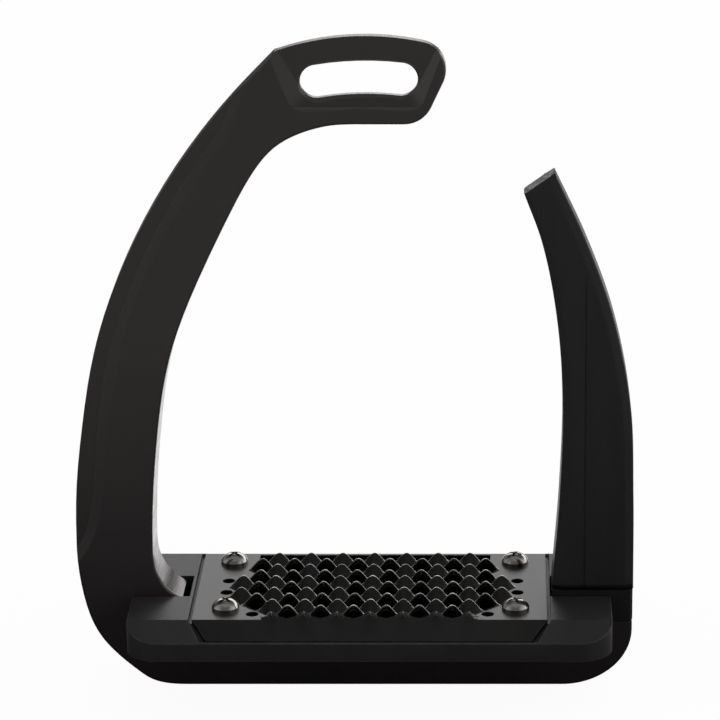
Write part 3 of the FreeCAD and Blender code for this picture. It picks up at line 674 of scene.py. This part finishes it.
def make_tread_sheet():
    """The pressed sheet with its flanges, in place of the CAD tread plate."""
    mesh = flat_sheet()
    add_flanges(mesh)
    for vertex in mesh.verts:
        x, y, drop = vertex.co
        height = SHEET_TOP + sheet_height(x, y) + drop
        vertex.co = Vector((x, y - apex_shift(x, y), height)) * MM
    bmesh.ops.recalc_face_normals(mesh, faces=mesh.faces)
    upward = sum(1 if f.normal.z > 0 else -1 for f in mesh.faces)
    if upward < 0:
        bmesh.ops.reverse_faces(mesh, faces=mesh.faces)
    thicken(mesh)
    made = bpy.data.meshes.new("tread_sheet")
    mesh.to_mesh(made)
    mesh.free()
    made.shade_smooth()
    made.set_sharp_from_angle(angle=math.radians(SHARP_ANGLE))
    piece = new_piece("tread_sheet", made, [plate_steel(), crest_highlight_and_wear()])
    soften(piece, SHEET_EDGE_ROUND, SHARP_ANGLE)
    even_shading(piece)
    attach(piece, "stirrup")
    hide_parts("tread_plate")


def add_flanges(mesh):
    """Both sloping flanges, from the fold down to their shorter foot; z holds the drop for now."""
    for side in (-1, 1):
        fold = []
        for edge in mesh.edges:
            if all(abs(v.co.y - side * FOLD_Y) < SAME_PLACE for v in edge.verts):
                fold.append(edge)
        feet = {}
        for edge in fold:
            for vertex in edge.verts:
                if vertex not in feet:
                    x = vertex.co.x * FLANGE_FOOT_HALF_LENGTH / SHEET_HALF_LENGTH
                    feet[vertex] = mesh.verts.new((x, side * FLANGE_FOOT_Y, -FLANGE_DROP))
        for edge in fold:
            a, b = edge.verts
            mesh.faces.new((a, b, feet[b], feet[a]))


def even_shading(piece):
    piece.modifiers.new("even_shading", "WEIGHTED_NORMAL").keep_sharp = True


def soften(piece, width, angle):
    """Small rounded edges where two faces meet at more than the angle."""
    bevel = piece.modifiers.new("soft_edges", "BEVEL")
    bevel.width = width * MM
    bevel.segments = SOFT_EDGE_SEGMENTS
    bevel.limit_method = "ANGLE"
    bevel.angle_limit = math.radians(angle)
    bevel.use_clamp_overlap = True
    bevel.miter_outer = "MITER_ARC"


def curve_through(points, count):
    """Evenly spaced points on a smooth curve (Catmull-Rom by chord length) through given points."""
    first = [2 * points[0][i] - points[1][i] for i in range(2)]
    last = [2 * points[-1][i] - points[-2][i] for i in range(2)]
    knots = [Vector(p) for p in [first] + list(points) + [last]]
    fine = []
    for i in range(1, len(knots) - 2):
        a, b, c, d = knots[i - 1:i + 3]
        span = (c - b).length
        start = ((c - b) / span + (b - a) / (b - a).length) * 0.5 * span
        end = ((c - b) / span + (d - c) / (d - c).length) * 0.5 * span
        for step in range(CURVE_STEPS + (i == len(knots) - 3)):
            t = step / CURVE_STEPS
            fine.append((2 * t ** 3 - 3 * t ** 2 + 1) * b + (t ** 3 - 2 * t ** 2 + t) * start
                        + (3 * t ** 2 - 2 * t ** 3) * c + (t ** 3 - t ** 2) * end)
    lengths = [0.0]
    for a, b in zip(fine, fine[1:]):
        lengths.append(lengths[-1] + (b - a).length)
    even = []
    index = 0
    for k in range(count):
        target = lengths[-1] * k / (count - 1)
        while index < len(lengths) - 2 and lengths[index + 1] < target:
            index += 1
        share = (target - lengths[index]) / (lengths[index + 1] - lengths[index])
        even.append(fine[index].lerp(fine[index + 1], share))
    return even


def rounded_corner(before, corner, after, radius):
    """Points on a small curve that replaces a corner."""
    back = (before - corner).normalized() * min(radius, (before - corner).length * 0.4)
    ahead = (after - corner).normalized() * min(radius, (after - corner).length * 0.4)
    points = []
    for i in range(CORNER_STEPS + 1):
        t = i / CORNER_STEPS
        points.append(corner + back * (1 - t) ** 2 + ahead * t ** 2)
    return points


def arm_section(inner, outer, along):
    """One section of the arm as (across, y) points: eight sides, round edges, a seam on two sides."""
    half = ARM_HALF - (ARM_HALF - ARM_TIP_HALF) * along ** ARM_TAPER
    width = (outer - inner).length
    inner_width = INNER_FACET[0] + (INNER_FACET[1] - INNER_FACET[0]) * along
    outer_width = OUTER_FACET[0] + (OUTER_FACET[1] - OUTER_FACET[0]) * along
    drop = FACET_DROP * half / ARM_HALF
    lean = (outer.x - inner.x) / width
    seam = (SEAM_X - inner.x) / lean
    height = inner.y + (outer.y - inner.y) * seam / width
    seam = max(inner_width + SEAM_INNER_GAP, min(width - outer_width - SEAM_OUTER_GAP, seam))
    depth = SEAM_DEPTH * smoothstep((SEAM_TOP - height) / SEAM_FADE)
    outer_start = width - outer_width
    front = [(0, drop - half), (inner_width, -half), (outer_start, -half), (width, drop - half)]
    corners = [Vector(p) for p in front] + [Vector((x, -y)) for x, y in reversed(front)]
    points = []
    for i, corner in enumerate(corners):
        points += rounded_corner(corners[i - 1], corner, corners[(i + 1) % len(corners)], ARM_EDGE_ROUND)
        if i in SEAM_CORNERS:
            side = -1 if i == SEAM_CORNERS[0] else 1
            for shift, level in SEAM_PROFILE:
                across = seam - side * shift * SEAM_HALF_WIDTH
                points.append(Vector((across, side * (half - depth * level))))
    return points


def arm_place(inner, outer, point):
    """A section point in the part's frame, in mm."""
    across = (outer - inner).normalized()
    return Vector((inner.x + across.x * point.x, point.y, inner.y + across.y * point.x))


def make_release_arm():
    """The elastomer arm; on the real stirrup it bends at its foot."""
    inner = curve_through(ARM_INNER, ARM_STATIONS)
    outer = curve_through(ARM_OUTER, ARM_STATIONS)
    mesh = bmesh.new()
    rings = []
    for i in range(ARM_STATIONS):
        section = arm_section(inner[i], outer[i], i / (ARM_STATIONS - 1))
        rings.append([mesh.verts.new(arm_place(inner[i], outer[i], p)) for p in section])
    count = len(rings[0])
    for lower, upper in zip(rings, rings[1:]):
        for i in range(count):
            j = (i + 1) % count
            mesh.faces.new((lower[i], lower[j], upper[j], upper[i]))
    mesh.faces.new(list(reversed(rings[0])))
    add_cut_end(mesh, rings[-1], inner[-1], outer[-1])
    bmesh.ops.recalc_face_normals(mesh, faces=mesh.faces)
    for vertex in mesh.verts:
        vertex.co *= MM
    made = bpy.data.meshes.new("release_arm_skin")
    mesh.to_mesh(made)
    mesh.free()
    made.shade_smooth()
    piece = new_piece("release_arm_skin", made, [arm_elastomer(), cut_elastomer()])
    even_shading(piece)
    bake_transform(piece)
    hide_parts("release_arm")


def add_cut_end(mesh, border, inner, outer):
    """The sawn end: rings towards the middle, roughened, with a few small notches."""
    middle = sum((v.co for v in border), Vector()) / len(border)
    along = Vector((inner.y - outer.y, 0, outer.x - inner.x)).normalized()
    previous = border
    for ring in range(1, TIP_RINGS + 1):
        share = 1 - ring / (TIP_RINGS + 1)
        row = []
        for vertex in border:
            place = middle + (vertex.co - middle) * share
            rise = noise.fractal(place * TIP_GRAIN, 1.0, 2.0, 3) * TIP_ROUGHNESS
            dip = noise.noise(place * NOTCH_GRAIN + Vector(NOTCH_PLACE)) - NOTCH_LEVEL
            notch = max(0.0, dip) * NOTCH_DEPTH
            row.append(mesh.verts.new(place + along * (rise + TIP_LIFT - notch)))
        for i in range(len(border)):
            j = (i + 1) % len(border)
            mesh.faces.new((previous[i], previous[j], row[j], row[i])).material_index = 1
        previous = row
    mesh.faces.new(previous).material_index = 1


def make_spring_leaf():
    """The leaf inside the arm, a straight strip in short steps."""
    low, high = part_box("arm_spring_leaf")
    mesh = bmesh.new()
    rings = []
    for i in range(LEAF_STEPS + 1):
        z = low.z + (high.z - low.z) * i / LEAF_STEPS
        corners = ((low.x, low.y), (high.x, low.y), (high.x, high.y), (low.x, high.y))
        rings.append([mesh.verts.new((x, y, z)) for x, y in corners])
    for lower, upper in zip(rings, rings[1:]):
        for i in range(4):
            j = (i + 1) % 4
            mesh.faces.new((lower[i], lower[j], upper[j], upper[i]))
    mesh.faces.new(list(reversed(rings[0])))
    mesh.faces.new(rings[-1])
    made = bpy.data.meshes.new("spring_leaf_strip")
    mesh.to_mesh(made)
    mesh.free()
    steel = plain_metal("spring_steel", (0.3, 0.3, 0.3), 0.3)
    piece = new_piece("spring_leaf_strip", made, [steel])
    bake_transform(piece)
    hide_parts("arm_spring_leaf")


def dress_cad_nodes():
    """Materials for the CAD nodes that stay, and small round edges on the moulded base and block."""
    brass = plain_metal("turned_brass", (0.55, 0.4, 0.16), 0.3)
    screws = screw_steel()
    finishes = {
        "frame": frame_metal(),
        "tread_base": base_nylon(),
        "tread_screws": screws,
        "tread_screw_inserts": brass,
        "base_screws": screws,
        "arm_root_block": root_nylon(),
        "arm_root_screws": screws,
    }
    for name, material in finishes.items():
        node = nodes[name]
        node.data.materials.clear()
        node.data.materials.append(material)
    for name, width in MOULDED_ROUNDS:
        weld = nodes[name].modifiers.new("weld", "WELD")
        weld.merge_threshold = WELD_DISTANCE * MM
        soften(nodes[name], width, MOULDED_ANGLE)
        even_shading(nodes[name])


# ---------------------------------------------------------------- stage

def make_floor():
    """A plain floor: near white to the camera; to reflections and bounce light, painted shade darkens it
    in front of the stirrup and at the left.
    """
    mesh = bpy.data.meshes.new("floor")
    h = FLOOR_HALF
    mesh.from_pydata([(-h, -h, 0), (h, -h, 0), (h, h, 0), (-h, h, 0)], [], [(0, 1, 2, 3)])
    s = Shader("floor", (0.85, 0.85, 0.85), 0.9)
    # Painted shade: the floor colour is near black just in front of the stirrup, standing for the shade
    # under the base, and dimmed at the left so that the left arm reflects no white.
    back = s.spread(s.place_part("Y"), 0.0, 0.06, 0.0, 0.85, True)
    front = s.spread(s.place_part("Y"), -0.28, -0.05, 0.6, 0.03, True)
    left = s.spread(s.place_part("X"), -0.22, -0.08, 0.06, 1.0, True)
    shade = s.maths("MAXIMUM", s.maths("MULTIPLY", back, left), front)
    s.colour(s.mix(shade, (0.0, 0.0, 0.0), (1.0, 1.0, 1.0)))
    s.main.inputs["Emission Color"].default_value = (1, 1, 1, 1)
    glowing = s.spread(s.place_part("Y"), 0.03, 0.12, 0.0, FLOOR_GLOW, True)
    s.link(s.maths("MULTIPLY", glowing, left), s.main.inputs["Emission Strength"])
    glow = s.node("ShaderNodeEmission", Strength=FLOOR_SEEN_STRENGTH)
    soft = s.node("ShaderNodeBsdfDiffuse", Color=(0.08, 0.08, 0.08, 1))
    seen = s.tree.nodes.new("ShaderNodeAddShader")
    s.link(glow.outputs[0], seen.inputs[0])
    s.link(soft.outputs[0], seen.inputs[1])
    path = s.tree.nodes.new("ShaderNodeLightPath")
    choice = s.tree.nodes.new("ShaderNodeMixShader")
    s.link(path.outputs["Is Camera Ray"], choice.inputs[0])
    s.link(s.main.outputs[0], choice.inputs[1])
    s.link(seen.outputs[0], choice.inputs[2])
    s.link(choice.outputs[0], s.tree.nodes["Material Output"].inputs["Surface"])
    floor = bpy.data.objects.new("floor", mesh)
    bpy.context.scene.collection.objects.link(floor)
    mesh.materials.append(s.material)


def make_world():
    """Studio light: a bright band low behind, two weaker sides, a soft overhead; white to the camera."""
    world = bpy.data.worlds.new("studio")
    bpy.context.scene.world = world
    world.use_nodes = True
    s = NodeTree(world.node_tree, "Generated")
    behind = s.spread(s.place_part("Y"), -0.15, 0.75, 0.0, 1.0, True)
    band = s.spread(s.place_part("Z"), 0.14, 0.28, 0.0, 1.0, True)
    cap = s.spread(s.place_part("Z"), 0.40, 0.62, 1.0, 0.03, True)
    right = s.spread(s.place_part("X"), 0.35, 0.9, 0.0, RIGHT_STRENGTH, True)
    left = s.spread(s.place_part("X"), -0.35, -0.9, 0.0, LEFT_STRENGTH, True)
    in_front = s.spread(s.place_part("Y"), 0.0, 0.6, 1.0, 0.1, True)
    sides = s.maths("MULTIPLY", s.maths("ADD", right, left), in_front)
    not_left = s.spread(s.place_part("X"), -0.5, -0.15, 0.1, 1.0, True)
    behind = s.maths("MULTIPLY", behind, not_left)
    cap = s.maths("MULTIPLY", cap, KEY_STRENGTH)
    key = s.maths("MULTIPLY", s.maths("MULTIPLY", behind, band), cap)
    ambient = s.spread(s.place_part("Y"), -0.1, 0.4, AMBIENT_FRONT, AMBIENT_BEHIND, True)
    overhead = s.spread(s.place_part("Z"), 0.8, 0.93, 0.0, OVERHEAD_STRENGTH, True)
    total = s.maths("ADD", key, sides)
    total = s.maths("ADD", total, ambient)
    total = s.maths("ADD", total, overhead)
    path = s.tree.nodes.new("ShaderNodeLightPath")
    strength = s.tree.nodes.new("ShaderNodeMix")
    s.link(path.outputs["Is Camera Ray"], strength.inputs[0])
    s.link(total, strength.inputs[2])
    strength.inputs[3].default_value = 1.0
    background = s.tree.nodes["Background"]
    background.inputs["Color"].default_value = (1, 1, 1, 1)
    s.link(strength.outputs[0], background.inputs["Strength"])


def make_camera():
    """The camera at the photograph's viewing angle."""
    camera = bpy.data.cameras.new("camera")
    camera.sensor_width = 36.0
    camera.lens = CAMERA_LENS
    camera.shift_x = CAMERA_SHIFT
    camera.clip_start = 0.05
    made = bpy.data.objects.new("camera", camera)
    bpy.context.scene.collection.objects.link(made)
    made.location = CAMERA_PLACE
    made.rotation_euler = (math.radians(90 - CAMERA_DOWN), 0, 0)
    bpy.context.scene.camera = made
    bpy.context.scene.view_settings.view_transform = "Standard"


dress_cad_nodes()
make_tread_sheet()
make_release_arm()
make_spring_leaf()
make_floor()
make_world()
make_camera()
